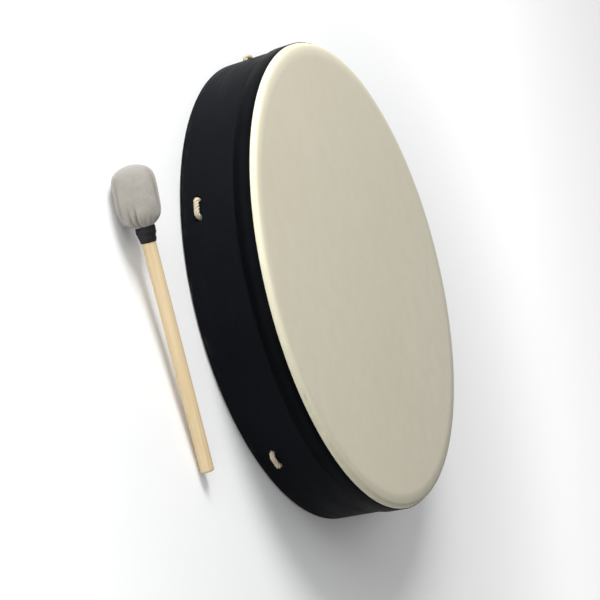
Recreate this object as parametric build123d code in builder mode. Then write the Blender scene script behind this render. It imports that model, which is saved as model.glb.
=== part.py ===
from build123d import *
import math
import os

os.makedirs("parts", exist_ok=True)

# ---------------------------------------------------------------- dimensions
# The drum lies on its back rim. Origin: centre of the back rim's plane, +Z
# up through the head. All lengths in millimetres.

# shell: a rolled fibre hoop with a black textured wrap
SHELL_R = 276.9          # outer radius of the bare hoop
SHELL_WALL = 6.4
SHELL_H = 80.0
RIM_ROUND = 1.6          # rounding of both back edges
WRAP_GAP = 0.05
WRAP_T = 0.6
WRAP_Z0 = 1.7
WRAP_Z1 = 67.6

# head end: bearing ring, film, flesh hoop and collar
DEPTH = 90.0             # back rim to the playing face
FILM_T = 0.4
FILM_R = 278.6           # outer radius of the film's skirt
FILM_ROUND = 5.6         # outer radius of the rolled edge
FILM_SKIRT_Z = 70.0      # lower edge of the skirt, hidden by the collar
RING_IN_R = 266.0
HOOP_R0 = 277.0
HOOP_R1 = 278.15
HOOP_Z0 = 68.6
HOOP_Z1 = 79.4
COLLAR_R = 279.5
COLLAR_T = 0.8
COLLAR_Z0 = 65.6
COLLAR_Z1 = 84.6
COLLAR_LIP = 1.7         # height of the inward lip at the collar's lower edge

# rope handle
ROPE_D = 6.0
HOLE_D = 9.0
HOLE_PITCH = 21.0        # between the two holes of a pair
HOLE_Z = 22.0
SITES = 6
FIRST_SITE = 30.0        # azimuth of the first pair of holes, degrees
ROPE_OUT_R = 281.25      # centreline of the outside stretch
ROPE_IN_R = 260.0        # where the rope turns from its hole to its spoke
ROPE_BEND = 6.0
SPOKE_START = 34.0       # the spoke starts this far from that turn
SPLICE_FROM = 12.0       # the cord over the rope's spliced ends, from that turn
SPLICE_L = 19.0
SPLICE_R = 4.1

RING_R = 38.0            # handle ring, centre of its bar
RING_BAR_R = 4.0
LOOP_R = RING_BAR_R + ROPE_D / 2 + 0.35
LOOP_HALF = 5.0          # half of a loop's shift along the bar
LOOP_BEND = 8.0
LOOP_END = 22.0          # the loop ends this far from its inner turn
WHIP_R = 5.5
WHIP_SPAN = 16.0         # degrees of the ring under each whipping

# beater
BEATER_L = 308.0
STICK_R = 7.0
STICK_L = 288.0
HEAD_R = 22.0
TAIL_X, TAIL_Y = 271.2, -258.7
BEATER_AZ = -150.58      # from tail to tip
CONTACT_TAIL = 3.0       # the two places where it meets the floor
CONTACT_HEAD = 270.0


# ---------------------------------------------------------------- the holes
half_pitch = math.degrees(math.asin(HOLE_PITCH / 2 / SHELL_R))
site_azimuths = [FIRST_SITE + 360 / SITES * i for i in range(SITES)]
hole_azimuths = [a + s * half_pitch for a in site_azimuths for s in (-1, 1)]


def radial_plane(azimuth, radius, z):
    """A plane facing straight out of the shell."""
    c, s = math.cos(math.radians(azimuth)), math.sin(math.radians(azimuth))
    return Plane(origin=(radius * c, radius * s, z), x_dir=(0, 0, 1), z_dir=(c, s, 0))


# ---------------------------------------------------------------- shell
shell_in = SHELL_R - SHELL_WALL
with BuildPart() as shell:
    with BuildSketch(Plane.XZ) as shell_profile:
        with Locations(((shell_in + SHELL_R) / 2, SHELL_H / 2)):
            Rectangle(SHELL_WALL, SHELL_H)
        fillet(shell_profile.vertices().group_by(Axis.Y)[0], RIM_ROUND)
    revolve(axis=Axis.Z)
    for azimuth in hole_azimuths:
        with BuildSketch(radial_plane(azimuth, shell_in - 5, HOLE_Z)):
            Circle(HOLE_D / 2)
        extrude(amount=SHELL_WALL + 10, mode=Mode.SUBTRACT)

with BuildPart() as shell_wrap:
    with BuildSketch(Plane.XZ):
        with Locations(
            (SHELL_R + WRAP_GAP + WRAP_T / 2, (WRAP_Z0 + WRAP_Z1) / 2)
        ):
            Rectangle(WRAP_T, WRAP_Z1 - WRAP_Z0)
    revolve(axis=Axis.Z)
    for azimuth in hole_azimuths:
        with BuildSketch(radial_plane(azimuth, SHELL_R - 3, HOLE_Z)):
            Circle(HOLE_D / 2)
        extrude(amount=8, mode=Mode.SUBTRACT)

# ---------------------------------------------------------------- head end
film_in = FILM_R - FILM_T
ring_top = DEPTH - FILM_T - 0.05
ring_out = film_in - 0.05
ring_round = FILM_ROUND - FILM_T
with BuildPart() as bearing_ring:
    with BuildSketch(Plane.XZ) as ring_profile:
        with BuildLine():
            Polyline(
                (RING_IN_R, SHELL_H + 0.05),
                (ring_out, SHELL_H + 0.05),
                (ring_out, ring_top - ring_round),
            )
            RadiusArc(
                (ring_out, ring_top - ring_round),
                (ring_out - ring_round, ring_top),
                -ring_round,
            )
            Polyline(
                (ring_out - ring_round, ring_top),
                (RING_IN_R + 3, ring_top - 1.6),
                (RING_IN_R, ring_top - 3.6),
                (RING_IN_R, SHELL_H + 0.05),
            )
        make_face()
    revolve(axis=Axis.Z)

with BuildPart() as drumhead:
    with BuildSketch(Plane.XZ):
        with BuildLine():
            Polyline(
                (0, DEPTH - FILM_T),
                (0, DEPTH),
                (FILM_R - FILM_ROUND, DEPTH),
            )
            RadiusArc(
                (FILM_R - FILM_ROUND, DEPTH),
                (FILM_R, DEPTH - FILM_ROUND),
                FILM_ROUND,
            )
            Polyline(
                (FILM_R, DEPTH - FILM_ROUND),
                (FILM_R, FILM_SKIRT_Z),
                (film_in, FILM_SKIRT_Z),
                (film_in, DEPTH - FILM_ROUND),
            )
            RadiusArc(
                (film_in, DEPTH - FILM_ROUND),
                (FILM_R - FILM_ROUND, DEPTH - FILM_T),
                -(FILM_ROUND - FILM_T),
            )
            Line((FILM_R - FILM_ROUND, DEPTH - FILM_T), (0, DEPTH - FILM_T))
        make_face()
    revolve(axis=Axis.Z)

with BuildPart() as flesh_hoop:
    with BuildSketch(Plane.XZ):
        with Locations(((HOOP_R0 + HOOP_R1) / 2, (HOOP_Z0 + HOOP_Z1) / 2)):
            Rectangle(HOOP_R1 - HOOP_R0, HOOP_Z1 - HOOP_Z0)
    revolve(axis=Axis.Z)

collar_in = COLLAR_R - COLLAR_T
lip_in = SHELL_R + WRAP_GAP + WRAP_T + 0.06
with BuildPart() as collar_band:
    with BuildSketch(Plane.XZ) as collar_profile:
        with BuildLine():
            Polyline(
                (lip_in, COLLAR_Z0),
                (COLLAR_R - 0.35, COLLAR_Z0),
                (COLLAR_R, COLLAR_Z0 + 0.5),
                (COLLAR_R, COLLAR_Z1 - 0.4),
                (COLLAR_R - 0.35, COLLAR_Z1),
                (collar_in, COLLAR_Z1),
                (collar_in, COLLAR_Z0 + COLLAR_LIP),
                (lip_in, COLLAR_Z0 + COLLAR_LIP),
                (lip_in, COLLAR_Z0),
            )
        make_face()
    revolve(axis=Axis.Z)


# ---------------------------------------------------------------- rope
def polar(radius, azimuth, z):
    c, s = math.cos(math.radians(azimuth)), math.sin(math.radians(azimuth))
    return Vector(radius * c, radius * s, z)


# One site at azimuth 0. Its rope comes down from the loop on the ring 30
# degrees back, under the bar, goes out through the first hole, across the
# outside, in through the second hole and up to the next loop, over the bar.
step = 360 / SITES


def loop_corner(loop_azimuth, side):
    """The turn of a loop inside the ring: side +1 is over the bar."""
    r = RING_R - LOOP_R
    c, s = math.cos(math.radians(loop_azimuth)), math.sin(math.radians(loop_azimuth))
    t = -side * LOOP_HALF
    return Vector(r * c - t * s, r * s + t * c, HOLE_Z + side * LOOP_R)


over = loop_corner(step / 2, 1)
under = loop_corner(-step / 2, -1)
hole_a_in = polar(ROPE_IN_R, -half_pitch, HOLE_Z)
hole_b_in = polar(ROPE_IN_R, half_pitch, HOLE_Z)
out_r = ROPE_OUT_R / math.cos(math.radians(half_pitch))
hole_a_out = polar(out_r, -half_pitch, HOLE_Z)
hole_b_out = polar(out_r, half_pitch, HOLE_Z)
spoke_a = hole_a_in + (under - hole_a_in).normalized() * SPOKE_START
spoke_b = hole_b_in + (over - hole_b_in).normalized() * SPOKE_START
loop_a = under + (hole_a_in - under).normalized() * LOOP_END
loop_b = over + (hole_b_in - over).normalized() * LOOP_END


def run_length(path):
    return sum(edge.length for edge in path.edges())


def turn(a, b, c):
    """The angle by which the rope turns at b, in degrees."""
    return (b - a).get_angle(c - b)


in_bend = 0.45 * (out_r - ROPE_IN_R) / math.tan(
    math.radians(turn(spoke_a, hole_a_in, hole_a_out)) / 2
)
stitch_radii = [in_bend, ROPE_BEND, ROPE_BEND, in_bend]
print("stitch radii", [round(r, 1) for r in stitch_radii])
with BuildPart() as one_stitch:
    with BuildLine() as stitch_path:
        FilletPolyline(
            spoke_a, hole_a_in, hole_a_out, hole_b_out, hole_b_in, spoke_b,
            radius=stitch_radii,
        )
    with BuildSketch(Plane(origin=stitch_path.line @ 0, z_dir=stitch_path.line % 0)):
        Circle(ROPE_D / 2)
    sweep(path=stitch_path.line)
print(
    "stitch volume",
    round(one_stitch.part.volume, 1),
    "section x length",
    round(math.pi * ROPE_D**2 / 4 * run_length(stitch_path), 1),
    "length",
    round(run_length(stitch_path), 1),
)
with BuildPart() as rope_stitches:
    with PolarLocations(0, SITES, start_angle=FIRST_SITE):
        add(one_stitch.part)

with BuildPart() as two_spokes:
    for near, far in ((spoke_a, loop_a), (spoke_b, loop_b)):
        with BuildSketch(Plane(origin=near, z_dir=(far - near).normalized())):
            Circle(ROPE_D / 2)
        extrude(amount=(far - near).length)
with BuildPart() as rope_spokes:
    with PolarLocations(0, SITES, start_angle=FIRST_SITE):
        add(two_spokes.part)
spoke_length = (loop_a - spoke_a).length

# One loop at azimuth 0: its upper leg runs to the site 30 degrees back and
# its lower leg to the site 30 degrees on.
top_turn = loop_corner(0, 1)
low_turn = loop_corner(0, -1)
top_hole = polar(ROPE_IN_R, -step / 2 + half_pitch, HOLE_Z)
low_hole = polar(ROPE_IN_R, step / 2 - half_pitch, HOLE_Z)
top_end = top_turn + (top_hole - top_turn).normalized() * LOOP_END
low_end = low_turn + (low_hole - low_turn).normalized() * LOOP_END
print("loop radii", [LOOP_BEND, LOOP_BEND])
with BuildPart() as one_loop:
    with BuildLine() as loop_path:
        FilletPolyline(
            top_end, top_turn, low_turn, low_end, radius=[LOOP_BEND, LOOP_BEND]
        )
    with BuildSketch(Plane(origin=loop_path.line @ 0, z_dir=loop_path.line % 0)):
        Circle(ROPE_D / 2)
    sweep(path=loop_path.line)
print(
    "loop volume",
    round(one_loop.part.volume, 1),
    "section x length",
    round(math.pi * ROPE_D**2 / 4 * run_length(loop_path), 1),
    "length",
    round(run_length(loop_path), 1),
)
print(
    "rope length",
    round(SITES * (run_length(stitch_path) + 2 * spoke_length + run_length(loop_path))),
)
with BuildPart() as rope_loops:
    with PolarLocations(0, SITES, start_angle=FIRST_SITE + step / 2):
        add(one_loop.part)

# ---------------------------------------------------------------- handle ring
with BuildPart() as handle_ring:
    with BuildSketch(Plane.XZ):
        with Locations((RING_R, HOLE_Z)):
            Circle(RING_BAR_R)
    revolve(axis=Axis.Z)

# cord whipping on the bar between the loops
with BuildPart() as one_whipping:
    with BuildSketch(Plane.XZ):
        with Locations((RING_R, HOLE_Z)):
            Circle(WHIP_R)
            Circle(RING_BAR_R + 0.05, mode=Mode.SUBTRACT)
    revolve(axis=Axis.Z, revolution_arc=WHIP_SPAN)
with BuildPart() as ring_whipping:
    with PolarLocations(0, SITES, start_angle=FIRST_SITE - WHIP_SPAN / 2):
        add(one_whipping.part)

# cord whipping over the splice that joins the rope's two ends, on the
# upper leg of one stitch, just inside the shell
splice_dir = (over - hole_b_in).normalized()
with BuildPart() as splice_at_zero:
    with BuildSketch(
        Plane(origin=hole_b_in + splice_dir * SPLICE_FROM, z_dir=splice_dir)
    ):
        Circle(SPLICE_R)
        Circle(ROPE_D / 2 + 0.05, mode=Mode.SUBTRACT)
    extrude(amount=SPLICE_L)
with BuildPart() as rope_splice:
    with PolarLocations(0, 1, start_angle=FIRST_SITE + step):
        add(splice_at_zero.part)

# ---------------------------------------------------------------- beater
tilt = math.asin((HEAD_R - STICK_R) / (CONTACT_HEAD - CONTACT_TAIL))
ca, sa = math.cos(math.radians(BEATER_AZ)), math.sin(math.radians(BEATER_AZ))
along = Vector(ca * math.cos(tilt), sa * math.cos(tilt), math.sin(tilt))
across = Vector(-sa, ca, 0)
tail_z = STICK_R * math.cos(tilt) - CONTACT_TAIL * math.sin(tilt) + 0.02
tail = Vector(TAIL_X, TAIL_Y, tail_z)
# sketch X is the radius, sketch Y runs from the tail to the tip
beater_plane = Plane(origin=tail, x_dir=across, z_dir=across.cross(along))
beater_axis = Axis(tail, along)

with BuildPart() as beater_handle:
    with BuildSketch(beater_plane) as stick_profile:
        with Locations((STICK_R / 2, STICK_L / 2)):
            Rectangle(STICK_R, STICK_L)
        fillet(
            stick_profile.vertices().sort_by_distance(
                tail + across * STICK_R
            )[0],
            2.6,
        )
    revolve(axis=beater_axis)

# outline of the head: distance from the tip, radius
cover_outer = [
    (0.0, 0.0),
    (1.4, 8.6),
    (4.6, 15.9),
    (9.5, 20.0),
    (17.0, 21.75),
    (28.0, 22.0),
    (38.0, 21.9),
    (45.5, 20.8),
    (52.0, 18.2),
    (57.0, 14.0),
    (61.0, 9.0),
]
COVER_T = 1.1
cover_inner = [
    (1.2, 0.0),
    (2.6, 8.2),
    (5.6, 15.1),
    (10.2, 19.0),
    (17.2, 20.65),
    (28.0, 20.9),
    (37.8, 20.8),
    (45.0, 19.7),
    (51.2, 17.3),
    (56.0, 13.1),
    (60.4, 8.0),
]
NECK_END = 74.0
outer_pts = [(r, BEATER_L - d) for d, r in cover_outer]
inner_pts = [(r, BEATER_L - d) for d, r in cover_inner]
with BuildPart() as beater_cover:
    with BuildSketch(beater_plane):
        with BuildLine():
            Spline(*outer_pts, tangents=((1, 0), (-0.6, -0.8)))
            Polyline(
                outer_pts[-1],
                (8.15, BEATER_L - 63.0),
                (8.15, BEATER_L - NECK_END + 1),
                (STICK_R + 0.05, BEATER_L - NECK_END + 1),
                (STICK_R + 0.05, BEATER_L - 61.6),
                inner_pts[-1],
            )
            Spline(*inner_pts[::-1], tangents=((0.6, 0.8), (-1, 0)))
            Line(inner_pts[0], outer_pts[0])
        make_face()
    revolve(axis=beater_axis)

# felt wound on the core, just inside the cover
pad_pts = [(max(0.0, r - 0.12), y - 0.1) for r, y in inner_pts[:-1]]
CORE_R = 12.0
CORE_TOP = BEATER_L - 10.0
CORE_LOW = BEATER_L - 48.0
with BuildPart() as beater_padding:
    with BuildSketch(beater_plane):
        with BuildLine():
            Spline(*pad_pts, tangents=((1, 0), (-0.6, -0.8)))
            Polyline(
                pad_pts[-1],
                (STICK_R + 0.1, BEATER_L - 57.6),
                (STICK_R + 0.1, CORE_LOW - 0.1),
                (CORE_R + 0.1, CORE_LOW - 0.1),
                (CORE_R + 0.1, CORE_TOP + 0.1),
                (0, CORE_TOP + 0.1),
                pad_pts[0],
            )
        make_face()
    revolve(axis=beater_axis)

with BuildPart() as beater_core:
    with BuildSketch(beater_plane) as core_profile:
        with BuildLine():
            Polyline(
                (STICK_R + 0.05, CORE_LOW),
                (CORE_R, CORE_LOW),
                (CORE_R, CORE_TOP),
                (0, CORE_TOP),
                (0, STICK_L + 0.1),
                (STICK_R + 0.05, STICK_L + 0.1),
                (STICK_R + 0.05, CORE_LOW),
            )
        make_face()
    revolve(axis=beater_axis)

# cord that ties the gathered cover to the stick
TIE_R0 = 8.2
TIE_T = 1.0
TIE_D0 = 65.5
TIE_N = 3
with BuildPart() as beater_tie:
    with BuildSketch(beater_plane):
        with Locations((TIE_R0 + TIE_T / 2, BEATER_L - TIE_D0)):
            Rectangle(TIE_T, TIE_T * TIE_N)
    revolve(axis=beater_axis)

# black tape over the tie and the end of the cover
with BuildPart() as beater_binding:
    with BuildSketch(beater_plane):
        with BuildLine():
            Polyline(
                (8.25, BEATER_L - 63.1),
                (9.14, BEATER_L - 61.05),
                (9.9, BEATER_L - 63.4),
                (9.9, BEATER_L - 67.6),
                (9.2, BEATER_L - 69.6),
                (8.4, BEATER_L - 74.0),
                (7.7, BEATER_L - 77.2),
                (STICK_R + 0.05, BEATER_L - 77.2),
                (STICK_R + 0.05, BEATER_L - NECK_END + 0.9),
                (8.2, BEATER_L - NECK_END + 0.9),
                (8.2, BEATER_L - TIE_D0 - TIE_T * TIE_N / 2 - 0.05),
                (TIE_R0 + TIE_T + 0.05, BEATER_L - TIE_D0 - TIE_T * TIE_N / 2 - 0.05),
                (TIE_R0 + TIE_T + 0.05, BEATER_L - TIE_D0 + TIE_T * TIE_N / 2 + 0.05),
                (8.25, BEATER_L - TIE_D0 + TIE_T * TIE_N / 2 + 0.05),
                (8.25, BEATER_L - 63.1),
            )
        make_face()
    revolve(axis=beater_axis)

# ---------------------------------------------------------------- write
for name, built in {
    "shell": shell,
    "shell_wrap": shell_wrap,
    "bearing_ring": bearing_ring,
    "drumhead": drumhead,
    "flesh_hoop": flesh_hoop,
    "collar_band": collar_band,
    "rope_stitches": rope_stitches,
    "rope_spokes": rope_spokes,
    "rope_loops": rope_loops,
    "rope_splice": rope_splice,
    "handle_ring": handle_ring,
    "ring_whipping": ring_whipping,
    "beater_handle": beater_handle,
    "beater_core": beater_core,
    "beater_padding": beater_padding,
    "beater_cover": beater_cover,
    "beater_tie": beater_tie,
    "beater_binding": beater_binding,
}.items():
    built.part.label = name
    export_step(built.part, f"parts/{name}.step")
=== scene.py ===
import math

import bpy
import numpy as np
from mathutils import Matrix, Vector, noise


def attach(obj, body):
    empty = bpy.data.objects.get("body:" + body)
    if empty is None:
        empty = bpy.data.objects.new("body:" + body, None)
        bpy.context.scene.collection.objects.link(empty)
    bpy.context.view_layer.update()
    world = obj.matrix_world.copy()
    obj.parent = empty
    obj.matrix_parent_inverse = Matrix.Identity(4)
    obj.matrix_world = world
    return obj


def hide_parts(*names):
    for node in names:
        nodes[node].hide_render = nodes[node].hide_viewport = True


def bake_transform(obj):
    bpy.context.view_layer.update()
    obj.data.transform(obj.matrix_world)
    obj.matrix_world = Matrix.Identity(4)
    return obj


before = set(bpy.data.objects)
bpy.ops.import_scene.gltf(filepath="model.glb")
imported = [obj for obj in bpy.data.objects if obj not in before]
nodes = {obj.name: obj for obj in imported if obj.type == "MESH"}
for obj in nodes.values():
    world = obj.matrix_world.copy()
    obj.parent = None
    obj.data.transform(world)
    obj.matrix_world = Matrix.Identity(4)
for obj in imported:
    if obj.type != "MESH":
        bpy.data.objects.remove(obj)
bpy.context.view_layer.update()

MM = 0.001

# ------------------------------------------------------------ sizes (metres)
HOLE_Z = 0.022
SHELL_R = 0.2769
HALF_PITCH = math.asin(0.0105 / SHELL_R)
SITES = [math.radians(30 + 60 * i) for i in range(6)]
STEP = math.radians(60)
ROPE_OUT_R = 0.28125
ROPE_IN_R = 0.260
ROPE_R = 0.003
RING_R = 0.038
BAR_R = 0.004
LOOP_R = BAR_R + ROPE_R + 0.00035
LOOP_HALF = 0.005
SHELL_OUT = 0.27755

BEATER_L = 0.308
STICK_R = 0.007
HEAD_R = 0.022
BEATER_AZ = math.radians(-150.58)
TILT = math.asin((0.022 - 0.007) / 0.267)
CA, SA = math.cos(BEATER_AZ), math.sin(BEATER_AZ)
ALONG = Vector((CA * math.cos(TILT), SA * math.cos(TILT), math.sin(TILT)))
ACROSS = Vector((-SA, CA, 0))
UPISH = ALONG.cross(ACROSS)
TAIL = Vector((0.2712, -0.2587, 0.007 * math.cos(TILT) - 0.003 * math.sin(TILT) + 0.00002))

# ------------------------------------------------------------ camera
cam_data = bpy.data.cameras.new("camera")
cam_data.sensor_width = 36
cam_data.lens = 84
cam_data.clip_start = 0.05
cam = bpy.data.objects.new("camera", cam_data)
bpy.context.collection.objects.link(cam)
CAM_POS = Vector((0.5868, -1.4311, 0.6718))
right = Vector((0.0730, 0.4479, 0.8911)).normalized()
forward = Vector((-0.3403, 0.8510, -0.3999))
forward = (forward - right * forward.dot(right)).normalized()
up = right.cross(forward)
cam.matrix_world = Matrix((
    (right.x, up.x, -forward.x, CAM_POS.x),
    (right.y, up.y, -forward.y, CAM_POS.y),
    (right.z, up.z, -forward.z, CAM_POS.z),
    (0, 0, 0, 1),
))
bpy.context.scene.camera = cam


# ------------------------------------------------------------ material helper
class Mat:
    """A Principled material, built node by node."""

    def __init__(self, name, metallic=0.0, rough=0.5, color=(0.5, 0.5, 0.5), **fixed):
        self.m = bpy.data.materials.new(name)
        self.m.use_nodes = True
        self.t = self.m.node_tree
        self.t.nodes.clear()
        self.out = self.t.nodes.new("ShaderNodeOutputMaterial")
        self.b = self.t.nodes.new("ShaderNodeBsdfPrincipled")
        self.t.links.new(self.b.outputs[0], self.out.inputs[0])
        self.b.inputs["Metallic"].default_value = metallic
        self.b.inputs["Roughness"].default_value = rough
        self.b.inputs["Base Color"].default_value = (*color, 1)
        for key, value in fixed.items():
            self.b.inputs[key.replace("_", " ")].default_value = value

    def n(self, kind, **props):
        node = self.t.nodes.new("ShaderNode" + kind)
        for k, v in props.items():
            setattr(node, k, v)
        return node

    def link(self, a, b):
        self.t.links.new(a, b)

    def obj(self):
        return self.n("TexCoord").outputs["Object"]

    def math(self, op, a, b=None, c=None, clamp=False):
        node = self.n("Math", operation=op, use_clamp=clamp)
        for i, v in enumerate((a, b, c)):
            if v is None:
                continue
            if isinstance(v, (int, float)):
                node.inputs[i].default_value = v
            else:
                self.link(v, node.inputs[i])
        return node.outputs[0]

    def vec(self, op, a, b=None, scale=None):
        node = self.n("VectorMath", operation=op)
        for i, v in enumerate((a, b)):
            if v is None:
                continue
            if isinstance(v, (tuple, list, Vector)):
                node.inputs[i].default_value = tuple(v)
            else:
                self.link(v, node.inputs[i])
        if scale is not None:
            node.inputs["Scale"].default_value = scale
        return node.outputs["Value"] if op in ("DOT_PRODUCT", "LENGTH", "DISTANCE") else node.outputs[0]

    def sep(self, v):
        node = self.n("SeparateXYZ")
        self.link(v, node.inputs[0])
        return node.outputs

    def comb(self, x, y, z):
        node = self.n("CombineXYZ")
        for i, v in enumerate((x, y, z)):
            if isinstance(v, (int, float)):
                node.inputs[i].default_value = v
            else:
                self.link(v, node.inputs[i])
        return node.outputs[0]

    def cyl(self, radius):
        """(arc length round the axis, height, radius) for a piece round Z."""
        s = self.sep(self.obj())
        a = self.math("ARCTAN2", s[1], s[0])
        u = self.math("MULTIPLY", a, radius)
        r = self.math("SQRT", self.math("ADD", self.math("MULTIPLY", s[0], s[0]), self.math("MULTIPLY", s[1], s[1])))
        return u, s[2], r

    def along(self):
        """(across, up, along) in the beater's own frame."""
        p = self.vec("SUBTRACT", self.obj(), TAIL)
        return (
            self.vec("DOT_PRODUCT", p, ACROSS),
            self.vec("DOT_PRODUCT", p, UPISH),
            self.vec("DOT_PRODUCT", p, ALONG),
        )

    def noise(self, vector, scale, detail=4, rough=0.55, distortion=0.0):
        node = self.n("TexNoise")
        self.link(vector, node.inputs["Vector"])
        node.inputs["Scale"].default_value = scale
        node.inputs["Detail"].default_value = detail
        node.inputs["Roughness"].default_value = rough
        node.inputs["Distortion"].default_value = distortion
        return node.outputs["Fac"]

    def voronoi(self, vector, scale, feature="F1", randomness=1.0):
        node = self.n("TexVoronoi", feature=feature)
        self.link(vector, node.inputs["Vector"])
        node.inputs["Scale"].default_value = scale
        node.inputs["Randomness"].default_value = randomness
        return node.outputs["Distance"]

    def scaled(self, vector, factors):
        return self.vec("MULTIPLY", vector, factors)

    def ramp(self, fac, stops, interpolation="LINEAR"):
        node = self.n("ValToRGB")
        self.link(fac, node.inputs[0])
        r = node.color_ramp
        r.interpolation = interpolation
        while len(r.elements) < len(stops):
            r.elements.new(0.5)
        for e, (pos, col) in zip(r.elements, stops):
            e.position = pos
            e.color = (*col, 1) if len(col) == 3 else col
        return node.outputs[0]

    def step(self, fac, lo, hi, a=0.0, b=1.0, smooth=True):
        node = self.n("MapRange", interpolation_type="SMOOTHSTEP" if smooth else "LINEAR")
        self.link(fac, node.inputs[0])
        for i, v in enumerate((lo, hi, a, b)):
            node.inputs[i + 1].default_value = v
        return node.outputs[0]

    def mix(self, fac, a, b, blend="MIX"):
        node = self.n("Mix", data_type="RGBA", blend_type=blend)
        for name, v in (("Factor", fac), ("A", a), ("B", b)):
            sock = [s for s in node.inputs if s.name == name and (s.type == ("VALUE" if name == "Factor" else "RGBA"))][0]
            if isinstance(v, (int, float)):
                sock.default_value = v
            elif isinstance(v, tuple):
                sock.default_value = (*v, 1) if len(v) == 3 else v
            else:
                self.link(v, sock)
        return [s for s in node.outputs if s.type == "RGBA"][0]

    def bump(self, height, distance, strength=1.0, after=None):
        node = self.n("Bump")
        node.inputs["Strength"].default_value = strength
        node.inputs["Distance"].default_value = distance
        self.link(height, node.inputs["Height"])
        if after is not None:
            self.link(after, node.inputs["Normal"])
        return node.outputs[0]

    def set(self, name, value):
        self.link(value, self.b.inputs[name])


def paint(name, mat, smooth=None):
    """Gives a carried-over CAD node a material."""
    o = nodes[name]
    if not o.material_slots:
        o.data.materials.append(mat.m)
    for s in o.material_slots:
        s.material = mat.m


# ------------------------------------------------------------ materials
def make_film():
    m = Mat("film_cream", rough=0.6, Specular_IOR_Level=0.35, Sheen_Weight=0.12, Sheen_Roughness=0.5)
    p = m.obj()
    big = m.noise(p, 5.5, 3, 0.5)
    mid = m.noise(p, 42, 5, 0.6)
    fine = m.noise(p, 900, 3, 0.6)
    fibre = m.noise(m.scaled(p, (260, 1900, 900)), 1.0, 4, 0.6)
    fibre2 = m.noise(m.scaled(p, (1700, 300, 900)), 1.0, 4, 0.6)
    base = m.ramp(big, [(0.3, (0.526, 0.486, 0.374)), (0.7, (0.550, 0.510, 0.396))])
    base = m.mix(m.step(mid, 0.35, 0.7, 0, 0.5), base, (0.514, 0.474, 0.360))
    base = m.mix(m.step(fine, 0.55, 0.75, 0, 0.22), base, (0.50, 0.455, 0.35))
    # handling leaves the rolled edge a touch darker in places
    s = m.sep(p)
    r = m.math("SQRT", m.math("ADD", m.math("MULTIPLY", s[0], s[0]), m.math("MULTIPLY", s[1], s[1])))
    edge = m.step(r, 0.2715, 0.2765)
    worn = m.math("MULTIPLY", edge, m.step(m.noise(p, 24, 4, 0.6), 0.45, 0.75, 0, 0.12))
    base = m.mix(worn, base, (0.50, 0.455, 0.36))
    # painted highlight: the film is made paler where it rolls over the edge, brightening the rim of light along it
    base = m.mix(m.step(r, 0.2665, 0.2745), base, (1.18, 1.20, 1.17), "MULTIPLY")
    m.set("Base Color", base)
    rough = m.step(mid, 0.3, 0.7, 0.56, 0.68)
    m.set("Roughness", rough)
    h = m.math("ADD", m.math("MULTIPLY", fibre, 0.6), m.math("MULTIPLY", fibre2, 0.6))
    h = m.math("ADD", h, m.math("MULTIPLY", fine, 0.7))
    b = m.bump(h, 0.00012, 0.35)
    b = m.bump(m.noise(p, 16, 2, 0.4), 0.0012, 0.25, after=b)
    # the film eases down to its rolled edge
    full = m.math("MAXIMUM", m.math("SUBTRACT", r, 0.2605), 0.0)
    d = m.math("MINIMUM", full, 0.0125)
    rest = m.math("MULTIPLY", m.math("SUBTRACT", full, d), 2.0)
    fall = m.math("MULTIPLY", d, m.math("ADD", d, rest))
    b = m.bump(m.math("DIVIDE", fall, -0.066), 1.0, 1.0, after=b)
    m.set("Normal", b)
    return m


def make_wrap():
    m = Mat("wrap_black", rough=0.5, Specular_IOR_Level=0.022)
    p = m.obj()
    u, z, r = m.cyl(SHELL_OUT)
    c = m.comb(u, z, r)
    grain = m.voronoi(m.scaled(c, (1.0, 1.25, 1.0)), 720, "SMOOTH_F1")
    fine = m.noise(c, 1500, 3, 0.6)
    streak = m.noise(m.scaled(c, (14, 90, 14)), 1.0, 4, 0.55)
    blotch = m.noise(c, 14, 4, 0.55)
    base = m.ramp(blotch, [(0.3, (0.0050, 0.0055, 0.0076)), (0.7, (0.0062, 0.0068, 0.0090))])
    base = m.mix(m.step(streak, 0.45, 0.7, 0, 0.22), base, (0.0086, 0.0094, 0.0120))
    base = m.mix(m.step(grain, 0.25, 0.6, 0, 0.5), base, (0.0036, 0.0038, 0.0048))
    # dusty scuffs near the rim that it stands on
    low = m.step(z, 0.0115, 0.002)
    scuff = m.math("MULTIPLY", low, m.step(m.noise(m.scaled(c, (60, 320, 60)), 1.0, 5, 0.65), 0.52, 0.68, 0, 0.5))
    base = m.mix(scuff, base, (0.035, 0.035, 0.035))
    m.set("Base Color", base)
    rg = m.math("ADD", m.step(streak, 0.3, 0.7, 0.43, 0.55), m.math("MULTIPLY", scuff, 0.25))
    m.set("Roughness", rg)
    # the wrap's butt seam, on the far side
    seam = m.math("MULTIPLY", m.math("ABSOLUTE", m.math("SUBTRACT", u, 0.2180)), 1.0)
    seam = m.step(seam, 0.0, 0.0006)
    b = m.bump(m.math("ADD", m.math("MULTIPLY", grain, 0.9), m.math("MULTIPLY", fine, 0.35)), 0.00014, 0.55)
    b = m.bump(blotch, 0.0011, 0.18, after=b)
    b = m.bump(seam, 0.00035, 0.8, after=b)
    m.set("Normal", b)
    return m


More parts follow.
